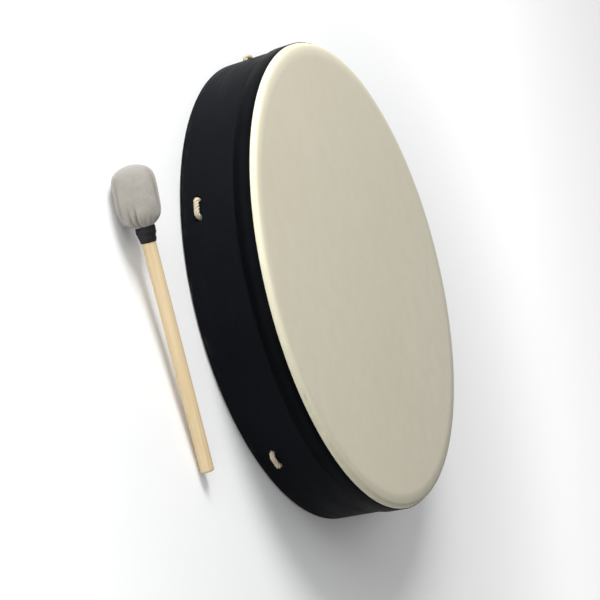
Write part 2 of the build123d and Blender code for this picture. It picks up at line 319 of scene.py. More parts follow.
def make_collar():
    m = Mat("collar_black", rough=0.45, Specular_IOR_Level=0.018)
    u, z, r = m.cyl(0.2795)
    c = m.comb(u, z, r)
    streak = m.noise(m.scaled(c, (30, 700, 30)), 1.0, 4, 0.6)
    wave = m.noise(m.scaled(c, (26, 40, 26)), 1.0, 3, 0.5)
    fine = m.noise(c, 1800, 3, 0.6)
    base = m.ramp(wave, [(0.3, (0.0014, 0.0016, 0.0022)), (0.7, (0.0022, 0.0025, 0.0033))])
    base = m.mix(m.step(streak, 0.5, 0.75, 0, 0.3), base, (0.0036, 0.0040, 0.0050))
    # painted highlight: the middle of the band is made a little paler all round, where its swell would catch the light
    crown = m.math("MULTIPLY", m.step(m.math("ABSOLUTE", m.math("SUBTRACT", z, 0.0765)), 0.0075, 0.0), m.step(wave, 0.25, 0.65, 0.55, 0.9))
    base = m.mix(crown, base, (0.0044, 0.0049, 0.0064))
    top = m.step(z, 0.0838, 0.0846, 0, 0.5)
    base = m.mix(m.math("MULTIPLY", top, m.step(fine, 0.4, 0.6)), base, (0.020, 0.020, 0.020))
    m.set("Base Color", base)
    m.set("Roughness", m.step(streak, 0.3, 0.7, 0.36, 0.50))
    seam = m.step(m.math("ABSOLUTE", m.math("SUBTRACT", u, 0.2350)), 0.0, 0.0005)
    b = m.bump(m.math("ADD", m.math("MULTIPLY", fine, 0.5), streak), 0.00006, 0.5)
    b = m.bump(wave, 0.0010, 0.28, after=b)
    # it swells a little between its two edges
    q = m.math("DIVIDE", m.math("SUBTRACT", z, 0.0751), 0.0095)
    b = m.bump(m.math("MULTIPLY", m.math("MULTIPLY", q, q), -0.0017), 1.0, 1.0, after=b)
    b = m.bump(seam, 0.0004, 0.8, after=b)
    m.set("Normal", b)
    return m


def make_fibre():
    m = Mat("shell_fibre", rough=0.7)
    u, z, r = m.cyl(0.2736)
    c = m.comb(u, z, r)
    grain = m.noise(m.scaled(c, (70, 1500, 1500)), 1.0, 6, 0.65)
    flake = m.voronoi(m.scaled(c, (0.28, 1.0, 1.0)), 330)
    blotch = m.noise(c, 18, 4, 0.6)
    base = m.ramp(grain, [(0.25, (0.010, 0.0095, 0.009)), (0.55, (0.024, 0.022, 0.020)), (0.8, (0.052, 0.046, 0.040))])
    base = m.mix(m.step(blotch, 0.35, 0.7, 0, 0.5), base, (0.014, 0.013, 0.0125))
    rim = m.step(z, 0.0022, 0.0004, 0, 0.55)
    base = m.mix(m.math("MULTIPLY", rim, m.step(grain, 0.42, 0.6)), base, (0.13, 0.095, 0.06))
    m.set("Base Color", base)
    m.set("Roughness", m.step(grain, 0.3, 0.7, 0.62, 0.82))
    b = m.bump(grain, 0.00022, 0.6)
    b = m.bump(flake, 0.0002, 0.4, after=b)
    m.set("Normal", b)
    return m


def make_rope():
    m = Mat("rope_tan", rough=0.82, Specular_IOR_Level=0.25, Sheen_Weight=0.25, Sheen_Roughness=0.4)
    a = m.n("Attribute", attribute_name="rope_uv", attribute_type="GEOMETRY").outputs["Vector"]
    s = m.sep(a)     # x: metres along, y: turns round the strand, z: strand
    fib = m.comb(m.math("MULTIPLY", s[0], 1.0), m.math("MULTIPLY", s[1], 1.0), m.math("MULTIPLY", s[2], 7.3))
    yarn = m.noise(m.scaled(fib, (420, 26, 1)), 1.0, 3, 0.6, 0.4)
    hair = m.noise(m.scaled(fib, (900, 95, 1)), 1.0, 4, 0.65)
    tone = m.noise(m.scaled(fib, (60, 2.2, 1)), 1.0, 3, 0.6)
    base = m.ramp(tone, [(0.28, (0.40, 0.325, 0.195)), (0.5, (0.58, 0.495, 0.355)), (0.72, (0.76, 0.695, 0.565))])
    base = m.mix(m.step(hair, 0.52, 0.72, 0, 0.7), base, (0.20, 0.14, 0.08))
    base = m.mix(m.step(yarn, 0.55, 0.75, 0, 0.35), base, (0.78, 0.71, 0.58))
    m.set("Base Color", base)
    m.set("Roughness", m.step(hair, 0.3, 0.7, 0.72, 0.9))
    b = m.bump(m.math("ADD", m.math("MULTIPLY", yarn, 0.7), hair), 0.00035, 0.75)
    m.set("Normal", b)
    return m


def make_cord():
    m = Mat("cord_brown", rough=0.48, Specular_IOR_Level=0.4)
    p = m.obj()
    n1 = m.noise(p, 900, 4, 0.6)
    n2 = m.noise(p, 120, 3, 0.6)
    base = m.ramp(n1, [(0.3, (0.055, 0.030, 0.014)), (0.7, (0.150, 0.088, 0.045))])
    base = m.mix(m.step(n2, 0.4, 0.7, 0, 0.5), base, (0.10, 0.058, 0.03))
    m.set("Base Color", base)
    m.set("Roughness", m.step(n2, 0.3, 0.7, 0.38, 0.6))
    m.set("Normal", m.bump(m.math("ADD", n1, m.noise(p, 2400, 2, 0.5)), 0.00012, 0.6))
    return m


def make_steel():
    m = Mat("ring_steel", metallic=1.0, rough=0.32, color=(0.55, 0.55, 0.54))
    p = m.obj()
    s = m.sep(p)
    a = m.math("MULTIPLY", m.math("ARCTAN2", s[1], s[0]), RING_R)
    r = m.math("SQRT", m.math("ADD", m.math("MULTIPLY", s[0], s[0]), m.math("MULTIPLY", s[1], s[1])))
    c = m.comb(a, r, s[2])
    brush = m.noise(m.scaled(c, (60, 2600, 2600)), 1.0, 3, 0.6)
    spot = m.noise(p, 160, 5, 0.65)
    m.set("Base Color", m.mix(m.step(spot, 0.55, 0.75, 0, 0.6), (0.56, 0.555, 0.54), (0.30, 0.27, 0.23)))
    m.set("Roughness", m.math("ADD", m.step(brush, 0.3, 0.7, 0.24, 0.38), m.step(spot, 0.5, 0.8, 0, 0.2)))
    m.set("Normal", m.bump(brush, 0.00004, 0.5))
    return m


def make_hoop():
    m = Mat("hoop_alloy", metallic=1.0, rough=0.38, color=(0.7, 0.7, 0.7))
    u, z, r = m.cyl(0.2775)
    c = m.comb(u, z, r)
    roll = m.noise(m.scaled(c, (20, 2200, 2200)), 1.0, 3, 0.6)
    m.set("Base Color", m.ramp(roll, [(0.3, (0.60, 0.60, 0.61)), (0.7, (0.74, 0.74, 0.74))]))
    m.set("Roughness", m.step(roll, 0.3, 0.7, 0.3, 0.46))
    m.set("Normal", m.bump(roll, 0.00004, 0.5))
    return m


def make_stick():
    m = Mat("stick_wood", rough=0.5, Specular_IOR_Level=0.4)
    x, y, z = m.along()
    q = m.comb(x, y, z)
    warp = m.noise(m.scaled(q, (40, 40, 5)), 1.0, 3, 0.5)
    # growth rings round a pith that lies outside the dowel
    dx = m.math("ADD", m.math("ADD", x, 0.021), m.math("MULTIPLY", warp, 0.0022))
    dy = m.math("ADD", m.math("ADD", y, 0.009), m.math("MULTIPLY", z, 0.010))
    rr = m.math("SQRT", m.math("ADD", m.math("MULTIPLY", dx, dx), m.math("MULTIPLY", dy, dy)))
    ring = m.math("SINE", m.math("MULTIPLY", rr, 2 * math.pi / 0.0021))
    pores = m.noise(m.scaled(q, (2100, 2100, 60)), 1.0, 4, 0.7)
    streak = m.noise(m.scaled(q, (420, 420, 9)), 1.0, 4, 0.6)
    tone = m.noise(m.scaled(q, (60, 60, 11)), 1.0, 3, 0.5)
    base = m.ramp(m.step(ring, -1, 1, 0, 1, smooth=False), [(0.0, (0.632, 0.492, 0.292)), (0.6, (0.668, 0.534, 0.334)), (1.0, (0.590, 0.442, 0.250))])
    base = m.mix(m.step(streak, 0.45, 0.72, 0, 0.5), base, (0.685, 0.555, 0.366))
    base = m.mix(m.step(tone, 0.45, 0.7, 0, 0.3), base, (0.600, 0.440, 0.226))
    base = m.mix(m.step(pores, 0.60, 0.72, 0, 0.5), base, (0.46, 0.30, 0.15))
    # hands darken the last third a little, and the tail's end grain is darker
    grip = m.math("MULTIPLY", m.step(z, 0.11, 0.02, 0, 1), m.step(m.noise(m.scaled(q, (90, 90, 30)), 1.0, 4, 0.6), 0.4, 0.7, 0, 0.22))
    base = m.mix(grip, base, (0.52, 0.36, 0.19))
    base = m.mix(m.step(z, 0.0009, 0.0001, 0, 0.35), base, (0.55, 0.38, 0.20))
    m.set("Base Color", base)
    m.set("Roughness", m.step(streak, 0.3, 0.7, 0.42, 0.58))
    b = m.bump(m.math("SUBTRACT", m.math("MULTIPLY", ring, 0.25), pores), 0.00008, 0.5)
    m.set("Normal", b)
    return m


def make_cloth():
    m = Mat("cover_cloth", rough=0.88, Specular_IOR_Level=0.2, Sheen_Weight=0.35, Sheen_Roughness=0.45)
    a = m.n("Attribute", attribute_name="cloth_uv", attribute_type="GEOMETRY").outputs["Vector"]
    p = m.obj()
    nap = m.noise(p, 1700, 4, 0.65)
    nap2 = m.noise(p, 420, 4, 0.6)
    blot = m.noise(p, 70, 4, 0.6)
    base = m.ramp(blot, [(0.3, (0.312, 0.286, 0.252)), (0.7, (0.372, 0.347, 0.313))])
    base = m.mix(m.step(nap2, 0.45, 0.75, 0, 0.5), base, (0.296, 0.260, 0.222))
    base = m.mix(m.step(nap, 0.5, 0.75, 0, 0.35), base, (0.415, 0.394, 0.364))
    s = m.sep(a)     # x: turns round, y: metres from the tip, z: fold depth
    # painted shade: the cloth is darkened in proportion to how deep it is drawn into the gathers and creases
    base = m.mix(m.step(s[2], 0.15, 1.3, 0, 0.6), base, (0.175, 0.150, 0.128))
    # painted shade: the cloth round the striking crown is made a little greyer, holding back the light that falls most
    # strongly there
    base = m.mix(m.step(s[1], 0.021, 0.005, 0, 0.72), base, (0.235, 0.226, 0.208))
    m.set("Base Color", base)
    m.set("Roughness", m.step(nap2, 0.3, 0.7, 0.8, 0.95))
    b = m.bump(m.math("ADD", m.math("MULTIPLY", nap, 0.8), nap2), 0.00028, 0.5)
    b = m.bump(blot, 0.0006, 0.35, after=b)
    m.set("Normal", b)
    return m


def make_tape():
    m = Mat("tape_black", rough=0.5, Specular_IOR_Level=0.25)
    x, y, z = m.along()
    ang = m.math("ARCTAN2", y, x)
    u = m.math("MULTIPLY", ang, 0.0093)
    wx = m.math("SINE", m.math("MULTIPLY", u, 2 * math.pi / 0.00052))
    wz = m.math("SINE", m.math("MULTIPLY", z, 2 * math.pi / 0.00052))
    weave = m.math("MULTIPLY", wx, wz)
    p = m.obj()
    blot = m.noise(p, 260, 4, 0.6)
    base = m.ramp(blot, [(0.3, (0.007, 0.007, 0.0085)), (0.7, (0.016, 0.016, 0.019))])
    base = m.mix(m.step(weave, 0.2, 1.0, 0, 0.4), base, (0.030, 0.030, 0.034))
    m.set("Base Color", base)
    m.set("Roughness", m.step(blot, 0.3, 0.7, 0.42, 0.62))
    b = m.bump(weave, 0.00006, 0.5)
    b = m.bump(blot, 0.0003, 0.4, after=b)
    m.set("Normal", b)
    return m


def make_felt():
    m = Mat("felt", rough=0.95, Sheen_Weight=0.3)
    p = m.obj()
    n1 = m.noise(p, 700, 5, 0.7, 0.6)
    m.set("Base Color", m.ramp(n1, [(0.3, (0.62, 0.60, 0.55)), (0.7, (0.78, 0.76, 0.71))]))
    m.set("Roughness", m.step(n1, 0.3, 0.7, 0.88, 0.98))
    m.set("Normal", m.bump(n1, 0.0006, 0.8))
    return m


def make_core():
    m = Mat("core_wood", rough=0.6)
    x, y, z = m.along()
    q = m.comb(x, y, z)
    g = m.noise(m.scaled(q, (700, 700, 25)), 1.0, 5, 0.65)
    m.set("Base Color", m.ramp(g, [(0.3, (0.48, 0.31, 0.16)), (0.7, (0.66, 0.47, 0.28))]))
    m.set("Roughness", m.step(g, 0.3, 0.7, 0.5, 0.7))
    m.set("Normal", m.bump(g, 0.0001, 0.6))
    return m


film, wrap, collar, fibre, rope_m = make_film(), make_wrap(), make_collar(), make_fibre(), make_rope()
cord, steel, alloy, stick = make_cord(), make_steel(), make_hoop(), make_stick()
cloth, tape, felt, core = make_cloth(), make_tape(), make_felt(), make_core()

paint("drumhead", film)
paint("shell_wrap", wrap)
paint("collar_band", collar)
paint("shell", fibre)
paint("bearing_ring", fibre)
paint("flesh_hoop", alloy)
paint("handle_ring", steel)
paint("beater_handle", stick)
paint("beater_core", core)
paint("beater_tie", cord)


# ------------------------------------------------------------ mesh helpers
def new_mesh(name, verts, faces, mat, smooth=True):
    me = bpy.data.meshes.new(name)
    me.from_pydata([tuple(v) for v in verts], [], faces)
    me.validate()
    me.update()
    me.materials.append(mat.m)
    if smooth:
        me.polygons.foreach_set("use_smooth", [True] * len(me.polygons))
    o = bpy.data.objects.new(name, me)
    bpy.context.collection.objects.link(o)
    return o


def attribute(o, name, values):
    a = o.data.attributes.new(name, "FLOAT_VECTOR", "POINT")
    a.data.foreach_set("vector", np.asarray(values, np.float32).ravel())


def polar(r, az, z):
    return Vector((r * math.cos(az), r * math.sin(az), z))


def route(points, name, resolution=16):
    """The smooth line of a NURBS route through its control points."""
    cu = bpy.data.curves.new(name, "CURVE")
    cu.dimensions = "3D"
    sp = cu.splines.new("NURBS")
    sp.points.add(len(points) - 1)
    for q, p in zip(sp.points, points):
        q.co = (*p, 1)
    sp.order_u = 3
    sp.use_endpoint_u = True
    sp.resolution_u = resolution
    ob = bpy.data.objects.new(name, cu)
    me = bpy.data.meshes.new_from_object(ob)
    line = np.array([v.co for v in me.vertices], float)
    bpy.data.objects.remove(ob)
    bpy.data.curves.remove(cu)
    bpy.data.meshes.remove(me)
    return line


def spaced(line, step):
    s = np.concatenate([[0], np.cumsum(np.linalg.norm(np.diff(line, axis=0), axis=1))])
    n = max(2, int(math.ceil(s[-1] / step)) + 1)
    at = np.linspace(0, s[-1], n)
    return np.stack([np.interp(at, s, line[:, k]) for k in range(3)], axis=1), at


def frames(line, first=None):
    """Tangents and two normals carried along a line without twisting."""
    t = np.gradient(line, axis=0)
    t /= np.linalg.norm(t, axis=1)[:, None]
    n = np.zeros_like(t)
    if first is None:
        first = np.array([0, 0, 1.0]) if abs(t[0, 2]) < 0.8 else np.array([1.0, 0, 0])
    n0 = first - t[0] * np.dot(first, t[0])
    n[0] = n0 / np.linalg.norm(n0)
    for i in range(1, len(t)):
        v = n[i - 1] - t[i] * np.dot(n[i - 1], t[i])
        n[i] = v / np.linalg.norm(v)
    return t, n, np.cross(t, n)


def tube(centres, n, b, radius, sides, base=0):
    """Vertices and faces of a closed tube with flat capped ends."""
    ang = np.linspace(0, 2 * math.pi, sides, endpoint=False)
    verts = (
        centres[:, None]
        + np.cos(ang)[None, :, None] * n[:, None] * radius[:, None, None]
        + np.sin(ang)[None, :, None] * b[:, None] * radius[:, None, None]
    ).reshape(-1, 3)
    faces = []
    m = len(centres)
    for i in range(m - 1):
        for j in range(sides):
            k = (j + 1) % sides
            faces.append((base + i * sides + j, base + i * sides + k, base + (i + 1) * sides + k, base + (i + 1) * sides + j))
    faces.append(tuple(base + j for j in range(sides))[::-1])
    faces.append(tuple(base + (m - 1) * sides + j for j in range(sides)))
    return verts, faces


# ------------------------------------------------------------ rope
def loop_corner(az, side):
    r = RING_R - LOOP_R
    c, s = math.cos(az), math.sin(az)
    t = -side * LOOP_HALF
    return Vector((r * c - t * s, r * s + t * c, HOLE_Z + side * LOOP_R))


PITCH = 0.0142
STRANDS = 4
STRAND_R = 0.00131
STRAND_OFF = 0.00169


def stretch_of_rope(name, az):
    """From the middle of one loop, out through a pair of holes, to the middle of the next loop."""
    low, low_top = loop_corner(az - STEP / 2, -1), loop_corner(az - STEP / 2, 1)
    top, top_low = loop_corner(az + STEP / 2, 1), loop_corner(az + STEP / 2, -1)
    a_in = polar(ROPE_IN_R, az - HALF_PITCH, HOLE_Z)
    b_in = polar(ROPE_IN_R, az + HALF_PITCH, HOLE_Z)
    # drawn tight, so it lies against the holes' near sides and the wrap
    near = HALF_PITCH - 0.00142 / SHELL_R
    out_r = 0.2806 / math.cos(near)
    a_out = polar(out_r, az - near, HOLE_Z)
    b_out = polar(out_r, az + near, HOLE_Z)
    mid = polar(0.2803, az, HOLE_Z)
    pts = [
        (low + low_top) / 2,
        low,
        low + (a_in - low).normalized() * 0.014,
        low.lerp(a_in, 0.35),
        low.lerp(a_in, 0.65),
        a_in + (low - a_in).normalized() * 0.030,
        a_in,
        polar(out_r - 0.0105, az - near, HOLE_Z),
        a_out,
        mid,
        b_out,
        polar(out_r - 0.0105, az + near, HOLE_Z),
        b_in,
        b_in + (top - b_in).normalized() * 0.030,
        b_in.lerp(top, 0.35),
        b_in.lerp(top, 0.65),
        top + (b_in - top).normalized() * 0.014,
        top,
        (top + top_low) / 2,
    ]
    line, at = spaced(route(pts, name + "_route"), 0.0014)
    c, s = math.cos(az - STEP / 2), math.sin(az - STEP / 2)
    t, n, b = frames(line, first=np.array([c, s, 0.0]))
    # where the carried normal ends up, against the next stretch's first one
    c2, s2 = math.cos(az + STEP / 2), math.sin(az + STEP / 2)
    w = np.array([c2, s2, 0.0])
    w = w - t[-1] * np.dot(w, t[-1])
    w /= np.linalg.norm(w)
    off = math.atan2(np.dot(w, b[-1]), np.dot(w, n[-1]))
    turns = round((at[-1] / PITCH) * STRANDS - off / (2 * math.pi) * STRANDS) / STRANDS
    twist = (2 * math.pi * turns + off) * at / at[-1]
    verts, faces, uv = [], [], []
    sides = 10
    for k in range(STRANDS):
        ph = twist + 2 * math.pi * k / STRANDS
        radial = np.cos(ph)[:, None] * n + np.sin(ph)[:, None] * b
        side = -np.sin(ph)[:, None] * n + np.cos(ph)[:, None] * b
        centre = line + radial * STRAND_OFF
        # the strand's own direction, so its section is round
        st = np.gradient(centre, axis=0)
        st /= np.linalg.norm(st, axis=1)[:, None]
        rn = radial - st * (radial * st).sum(1)[:, None]
        rn /= np.linalg.norm(rn, axis=1)[:, None]
        rb = np.cross(st, rn)
        wob = np.array([1 + 0.035 * noise.noise(Vector((x * 160, k * 5.1, az * 3))) for x in at])
        v, f = tube(centre, rn, rb, STRAND_R * wob, sides, base=len(verts) and sum(len(q) for q in verts))
        verts.append(v)
        faces += f
        for i, x in enumerate(at):
            for j in range(sides):
                uv.append((x, math.sin(2 * math.pi * j / sides) + 3 * k, math.cos(2 * math.pi * j / sides) * 0.14 + az))
    verts = np.concatenate(verts)
    o = new_mesh(name, verts, faces, rope_m)
    attribute(o, "rope_uv", uv)
    return o, line


ropes = []
rope_lines = []
for i, az in enumerate(SITES):
    o, line = stretch_of_rope("rope_%d" % (i + 1), az)
    ropes.append((o, az))
    rope_lines.append(line)

# ------------------------------------------------------------ cord windings
def winding(name, line, radius, cord_r, start, length, pitch, sides=8, per_turn=22, tuck=True):
    """A cord wound round a line: start and length are measured along it."""
    dense, at = spaced(np.asarray(line, float), 0.0004)
    t, n, b = frames(dense)
    turns = length / pitch
    m = int(turns * per_turn)
    u = np.linspace(0, 1, m)
    s = start + u * length
    centre = np.stack([np.interp(s, at, dense[:, k]) for k in range(3)], 1)
    nn = np.stack([np.interp(s, at, n[:, k]) for k in range(3)], 1)
    bb = np.stack([np.interp(s, at, b[:, k]) for k in range(3)], 1)
    ph = 2 * math.pi * turns * u
    rad = np.full(m, radius + cord_r)
    if tuck:   # both ends dive under the turns
        rad -= cord_r * 1.2 * (np.clip((0.035 - u) / 0.035, 0, 1) + np.clip((u - 0.965) / 0.035, 0, 1))
    rad = rad * (1 + 0.006 * np.sin(ph * 0.37 + 1.3) + 0.004 * np.sin(ph * 2.3))
    path = centre + np.cos(ph)[:, None] * nn * rad[:, None] + np.sin(ph)[:, None] * bb * rad[:, None]
    st, sn, sb = frames(path)
    v, f = tube(path, sn, sb, np.full(m, cord_r), sides)
    return v, f


def joined(name, parts, mat):
    verts, faces = [], []
    for v, f in parts:
        base = sum(len(q) for q in verts)
        verts.append(v)
        faces += [tuple(base + i for i in q) for q in f]
    return new_mesh(name, np.concatenate(verts), faces, mat)


whips = []
for az in SITES:
    span = math.radians(16)
    a = np.linspace(az - span / 2, az + span / 2, 40)
    arc = np.stack([RING_R * np.cos(a), RING_R * np.sin(a), np.full(40, HOLE_Z)], 1)
    L = RING_R * span
    whips.append(winding("w", arc, BAR_R, 0.00068, 0.0007, L - 0.0014, 0.00138))
ring_whipping = joined("cord_whipping", whips, cord)

# over the splice, on the stitch at 90 degrees
az = SITES[1]
hole_b = polar(ROPE_IN_R, az + HALF_PITCH, HOLE_Z)
over = loop_corner(az + STEP / 2, 1)
d = (over - hole_b).normalized()
leg = np.array([hole_b + d * (0.0125 + 0.018 * k / 20) for k in range(21)])
splice = joined("splice_whipping", [winding("s", leg, 0.0029, 0.00055, 0.0002, 0.0176, 0.00112)], cord)


# ------------------------------------------------------------ beater head
def beater_point(radius, psi, d):
    """radius from the beater's axis, angle round it, distance from the tip."""
    return TAIL + ALONG * (BEATER_L - d) + (ACROSS * math.cos(psi) + UPISH * math.sin(psi)) * radius


to_cam = CAM_POS - beater_point(0, 0, 0.03)
to_cam = to_cam - ALONG * to_cam.dot(ALONG)
PSI_CAM = math.atan2(to_cam.dot(UPISH), to_cam.dot(ACROSS))
# the image's right-hand side of the head, as a turn round the axis
side_dir = ACROSS * -math.sin(PSI_CAM) + UPISH * math.cos(PSI_CAM)
SIDE = 1.0 if side_dir.dot(right) > 0 else -1.0

PROFILE = [  # distance from the tip, radius (mm)
    (0.0, 0.0), (0.3, 3.6), (1.0, 7.2), (2.3, 11.5), (4.4, 15.6), (7.0, 18.4), (9.8, 20.1), (13.0, 21.2),
    (17.0, 21.75), (22.0, 21.95), (28.0, 22.0), (34.0, 21.98), (38.5, 21.9), (42.5, 21.6), (46.0, 21.1),
    (49.2, 20.4), (52.0, 19.4), (54.2, 18.1), (56.2, 16.2), (57.9, 13.8), (59.1, 11.4), (59.9, 9.5), (60.5, 8.5),
    (62.0, 8.2), (66.0, 8.15), (70.0, 8.12),
]


def profile_at(s):
    pts = np.array(PROFILE) * MM
    seg = np.concatenate([[0], np.cumsum(np.linalg.norm(np.diff(pts, axis=0), axis=1))])
    return np.interp(s, seg, pts[:, 0]), np.interp(s, seg, pts[:, 1]), seg[-1]


def smooth_profile():
    pts = [(r * MM, d * MM, 0) for d, r in PROFILE]
    return route(pts, "head_profile", 10)


def bell(x, w):
    return np.exp(-0.5 * (x / w) ** 2)


def turn_off(a, b):
    return (a - b + math.pi) % (2 * math.pi) - math.pi


rng = np.random.default_rng(41)
# gathers: angle from the camera's side of the head, where each starts, depth, width
GATHERS = [(-29, 36.0, 2.3, 3.4), (-12, 36.5, 2.5, 3.2), (-20, 43.0, 1.2, 2.4), (-44, 51.0, 0.9, 3.8), (15, 49.0, 0.9, 4.0), (32, 50.5, 1.1, 4.2), (2, 52.0, 0.7, 3.2)]
for k in range(19):
    a = 55 + k * 13.6 + rng.uniform(-4, 4)
    GATHERS.append((a, rng.uniform(37, 50), rng.uniform(0.8, 2.0), rng.uniform(3.0, 4.8)))
# long soft creases down the sides of the head
CREASES = [(-55, 9, 52, 1.15, 6.5), (60, 5, 53, 1.1, 6.0), (131, 10, 48, 1.0, 7.0), (-128, 14, 50, 1.0, 7.0), (178, 18, 50, 0.7, 8.0)]


def fold_depth(psi, d):
    """How far the cloth is drawn in at a point, in metres."""
    rel = math.degrees(1) * turn_off(psi, PSI_CAM) * SIDE
    out = 0.0
    for a, d0, depth, w in GATHERS:
        x = (rel - a + 180) % 360 - 180
        if abs(x) > 4.5 * w:
            continue
        # a gather is widest and deepest at the neck, and fades as it runs up from it
        grow = min(1.0, max(0.0, (d / MM - d0) / (57.5 - d0)))
        wide = w * (0.75 + 0.55 * grow)
        out += depth * (grow ** 0.8) * math.exp(-0.5 * (x / wide) ** 2)
        out -= 0.40 * depth * (grow ** 0.8) * math.exp(-0.5 * ((abs(x) - 2.0 * wide) / wide) ** 2)
    for a, d0, d1, depth, w in CREASES:
        x = (rel - a - 2.0 * math.sin(d / MM / 9 + a) + 180) % 360 - 180
        if abs(x) > 4 * w:
            continue
        k = (d / MM - d0) / (d1 - d0)
        if 0 < k < 1:
            out += depth * math.sin(math.pi * k) ** 0.7 * (math.exp(-0.5 * (x / w) ** 2) - 0.3 * math.exp(-0.5 * ((x - 2.4 * w) / w) ** 2))
    return out * MM


SAG_D = [0, 18, 27, 33, 39, 45, 51, 54, 57, 59.2, 60.6, 80]
SAG = [0, 0, 0.5, 0.95, 1.2, 1.2, 1.45, 1.7, 1.4, 0.6, 0.0, 0]
IMAGE_RIGHT = np.array(side_dir * SIDE)


def cloth_cover():
    prof, at = spaced(smooth_profile(), 0.00105)
    na = 168
    shrink = 0.985
    verts, uv, pin = [], [], []
    for i, (r, d, _) in enumerate(prof):
        if i == 0:
            continue
        for j in range(na):
            psi = 2 * math.pi * j / na
            dep = fold_depth(psi, d)
            near = min(1.0, r / 0.012)
            fade = min(1.0, max(0.0, (0.0665 - d) / 0.004))
            bump = 0.00022 * noise.noise(Vector((math.cos(psi) * 2.6, math.sin(psi) * 2.6, d * 120)))
            rr = r * shrink - dep * near * (0.35 + 0.65 * fade) + bump * near * fade
            rr = max(rr, 0.00772 if d > 0.0590 else 0)
            verts.append(beater_point(rr, psi, d + 0.0003))
            uv.append((j / na, d, max(0.0, dep / MM)))
            pin.append(1.0 if d > 0.0596 else 0.0)
    tip = len(verts)
    verts.append(beater_point(0, 0, 0.0003))
    uv.append((0, 0, 0))
    pin.append(0)
    faces = []
    m = len(prof) - 1
    for i in range(m - 1):
        for j in range(na):
            k = (j + 1) % na
            faces.append((i * na + j, (i + 1) * na + j, (i + 1) * na + k, i * na + k))
    for j in range(na):
        faces.append((tip, j, (j + 1) % na))
    o = new_mesh("beater_head_cloth", verts, faces, cloth)
    attribute(o, "cloth_uv", uv)
    start = np.array([v.co for v in o.data.vertices], float)
    g = o.vertex_groups.new(name="held")
    g.add([i for i, w in enumerate(pin) if w > 0], 1.0, "ADD")
    mod = o.modifiers.new("Cloth", "CLOTH")
    st = mod.settings
    st.quality = 6
    st.mass = 0.25
    st.tension_stiffness = 18
    st.compression_stiffness = 18
    st.shear_stiffness = 6
    st.bending_stiffness = 0.6
    st.use_pressure = True
    st.uniform_pressure_force = 4.0
    st.vertex_group_mass = "held"
    st.effector_weights.gravity = 0
    mod.collision_settings.use_collision = False
    mod.point_cache.frame_start, mod.point_cache.frame_end = 1, 20
    for f in range(1, 21):
        bpy.context.scene.frame_set(f)
    dg = bpy.context.evaluated_depsgraph_get()
    ev = o.evaluated_get(dg)
    me = ev.to_mesh()
    end = np.array([v.co for v in me.vertices], float)
    ev.to_mesh_clear()
    o.modifiers.remove(mod)
    bpy.context.scene.frame_set(1)
    move = end - start
    far = np.linalg.norm(move, axis=1)
    cap = 0.0011
    move *= np.minimum(1.0, cap / np.maximum(far, 1e-9))[:, None]
    print("cloth moved, mm: mean %.2f, most %.2f" % (far.mean() * 1000, far.max() * 1000))
    co = start + move
    # stay within the head's outline
    tail, al = np.array(TAIL), np.array(ALONG)
    rel = co - tail
    s = rel @ al
    rad = rel - s[:, None] * al
    rr = np.linalg.norm(rad, axis=1)
    limit = np.interp((BEATER_L - s) / MM, [p[0] for p in PROFILE], [p[1] for p in PROFILE]) * MM + 0.00018
    limit = np.maximum(limit, 0.003) + 0.0002
    scale = np.minimum(1.0, limit / np.maximum(rr, 1e-9))
    s = np.minimum(s, BEATER_L - 0.00002)
    co = tail + s[:, None] * al + rad * scale[:, None]
    co -= IMAGE_RIGHT * (np.interp((BEATER_L - s) / MM, SAG_D, SAG) * MM)[:, None]
    co[:, 2] = np.maximum(co[:, 2], 0.00001)
    o.data.vertices.foreach_set("co", co.astype(np.float32).ravel())
    o.data.update()
    # the felt inside follows the cloth, 1.3 mm under it
    rel = co - tail
    s = np.clip(rel @ al, 0, BEATER_L - 0.0018)
    rad = rel - (rel @ al)[:, None] * al
    rr = np.linalg.norm(rad, axis=1)
    keep = np.maximum(rr - 0.0013, 0)
    keep = np.where((BEATER_L - s) > 0.0580, np.minimum(keep, 0.00745), keep)
    inner = tail + s[:, None] * al + rad * (keep / np.maximum(rr, 1e-9))[:, None]
    fuzz = np.array([noise.noise(Vector(v) * 900) for v in inner]) * 0.00012
    inner += rad / np.maximum(rr, 1e-6)[:, None] * fuzz[:, None]
    rows = [i for i, (r, d, _) in enumerate(prof) if i > 0 and d < 0.0605]
    last = (len(rows) - 1) * na
    ff = [f for f in faces if all(v <= last + na - 1 or v == tip for v in f)]
    ff.append(tuple(last + j for j in range(na)))
    pad = new_mesh("beater_head_felt", inner, ff, felt)
    sol = o.modifiers.new("thick", "SOLIDIFY")
    sol.thickness = 0.0009
    sol.offset = -1
    sub = o.modifiers.new("sub", "SUBSURF")
    sub.levels = sub.render_levels = 1
    return o, pad


cover, padding = cloth_cover()


# ------------------------------------------------------------ tape on the neck
PSI_RIGHT = math.atan2((side_dir * SIDE).dot(UPISH), (side_dir * SIDE).dot(ACROSS))


